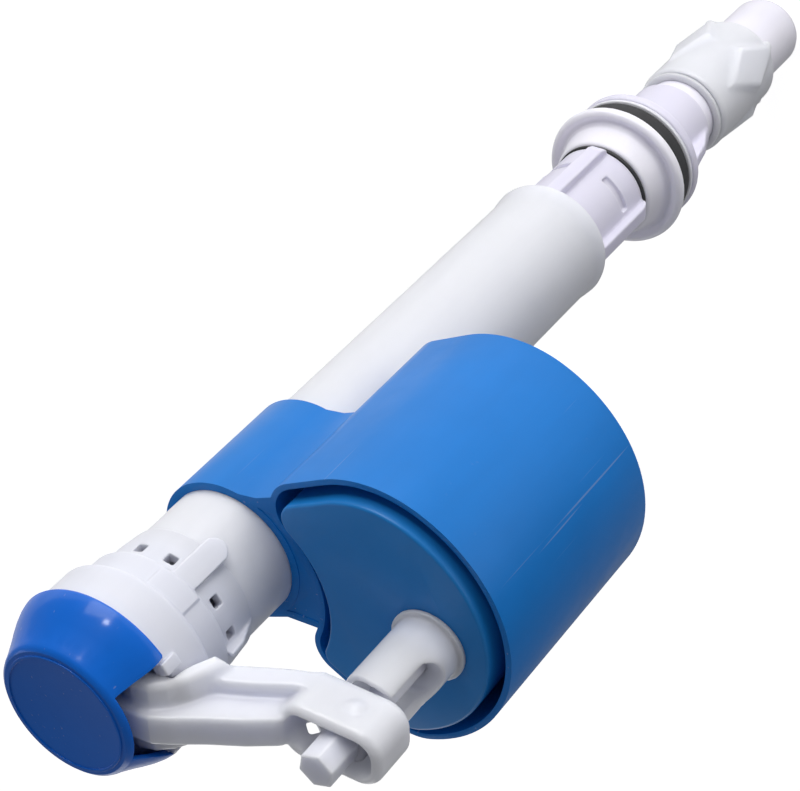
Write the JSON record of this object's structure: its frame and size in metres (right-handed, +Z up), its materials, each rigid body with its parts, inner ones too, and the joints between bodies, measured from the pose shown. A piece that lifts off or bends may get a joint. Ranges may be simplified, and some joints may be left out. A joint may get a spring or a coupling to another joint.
{
  "type": "float valve",
  "caption": "Bottom-entry cistern float valve: riser in a silencer tube, capped head with a lever, and a float in an open chamber beside the tube.",
  "frame": {"origin": "on the tube axis, at the lower face of the sealing washer, where the cistern floor's inner surface lies", "axes": "+Z up the tube towards the cap, +X from the tube to the float, +Y across the lever"},
  "size_m": [0.0934, 0.0677, 0.3275],
  "materials": {
    "white_plastic": "satin moulded acetal",
    "frosted_plastic": "translucent moulded polypropylene",
    "blue_plastic": "satin moulded polypropylene",
    "float_plastic": "satin moulded polypropylene",
    "black_rubber": "matt nitrile rubber"
  },
  "bodies": {
    "valve_body": {"tail_body": "white_plastic", "riser_pipe": "white_plastic", "riser_base": "white_plastic", "joint_seal": "black_rubber", "sealing_washer": "black_rubber", "inlet_filter": "white_plastic", "flow_restrictor": "white_plastic", "outer_tube": "frosted_plastic", "vent_ring": "white_plastic", "head_housing": "white_plastic", "valve_seat": "white_plastic", "diaphragm": "black_rubber", "valve_cover": "white_plastic", "lever_pin": "white_plastic", "float_chamber": "blue_plastic"},
    "cap": {"cap": "blue_plastic"},
    "piston": {"valve_piston": "white_plastic", "piston_seal": "black_rubber"},
    "lever": {"lever_arm": "frosted_plastic", "pilot_seal": "black_rubber"},
    "swivel": {"swivel_collar": "white_plastic"},
    "screw": {"adjusting_screw": "white_plastic"},
    "float": {"float_stem": "frosted_plastic", "float_body": "float_plastic", "float_base": "float_plastic"},
    "drain_flap": {"drain_flap": "white_plastic"},
    "back_washer": {"friction_washer": "white_plastic"},
    "back_nut": {"back_nut": "white_plastic"},
    "union_ring": {"slip_ring": "frosted_plastic"},
    "union_nut": {"union_nut": "frosted_plastic"}
  },
  "joints": [
    {"name": "lever_tilt", "type": "hinge", "parent": "valve_body", "child": "lever", "pos_m": [0.012, 0, 0.231], "axis": [0, -1, 0], "range_deg": [0, 10]},
    {"name": "swivel_tilt", "type": "hinge", "parent": "lever", "child": "swivel", "pos_m": [0.053, 0, 0.216], "axis": [0, -1, 0], "range_deg": [-10, 0]},
    {"name": "screw_turn", "type": "hinge", "parent": "swivel", "child": "screw", "pos_m": [0.053, 0, 0.216], "axis": [0, 0, 1], "range_deg": [0, 1440]},
    {"name": "float_height", "type": "slide", "parent": "swivel", "child": "float", "axis": [0, 0, -1], "range_m": [0, 0.008]},
    {"name": "piston_slide", "type": "slide", "parent": "valve_body", "child": "piston", "axis": [0, 0, 1], "range_m": [-0.002, 0]},
    {"name": "cap_lift", "type": "slide", "parent": "valve_body", "child": "cap", "axis": [0, 0, 1], "range_m": [0, 0.03]},
    {"name": "flap_swing", "type": "hinge", "parent": "valve_body", "child": "drain_flap", "pos_m": [0.038, 0, 0.1239], "axis": [0, -1, 0], "range_deg": [0, 20]},
    {"name": "back_nut_travel", "type": "slide", "parent": "valve_body", "child": "back_washer", "axis": [0, 0, -1], "range_m": [0, 0.0045]},
    {"name": "back_nut_turn", "type": "hinge", "parent": "back_washer", "child": "back_nut", "pos_m": [0, 0, 0], "axis": [0, 0, -1], "range_deg": [0, 890]},
    {"name": "union_travel", "type": "slide", "parent": "valve_body", "child": "union_ring", "axis": [0, 0, -1], "range_m": [0, 0.0073]},
    {"name": "union_turn", "type": "hinge", "parent": "union_ring", "child": "union_nut", "pos_m": [0, 0, -0.04], "axis": [0, 0, -1], "range_deg": [0, 1440]}
  ],
  "couplings": [
    {"joint": "swivel_tilt", "follows": "lever_tilt", "ratio": -1},
    {"joint": "piston_slide", "follows": "lever_tilt", "m_per_rad": -0.011459},
    {"joint": "screw_turn", "follows": "float_height", "rad_per_m": 3141.6},
    {"joint": "back_nut_travel", "follows": "back_nut_turn", "m_per_rad": 0.00028871},
    {"joint": "union_travel", "follows": "union_turn", "m_per_rad": 0.00028871}
  ]
}
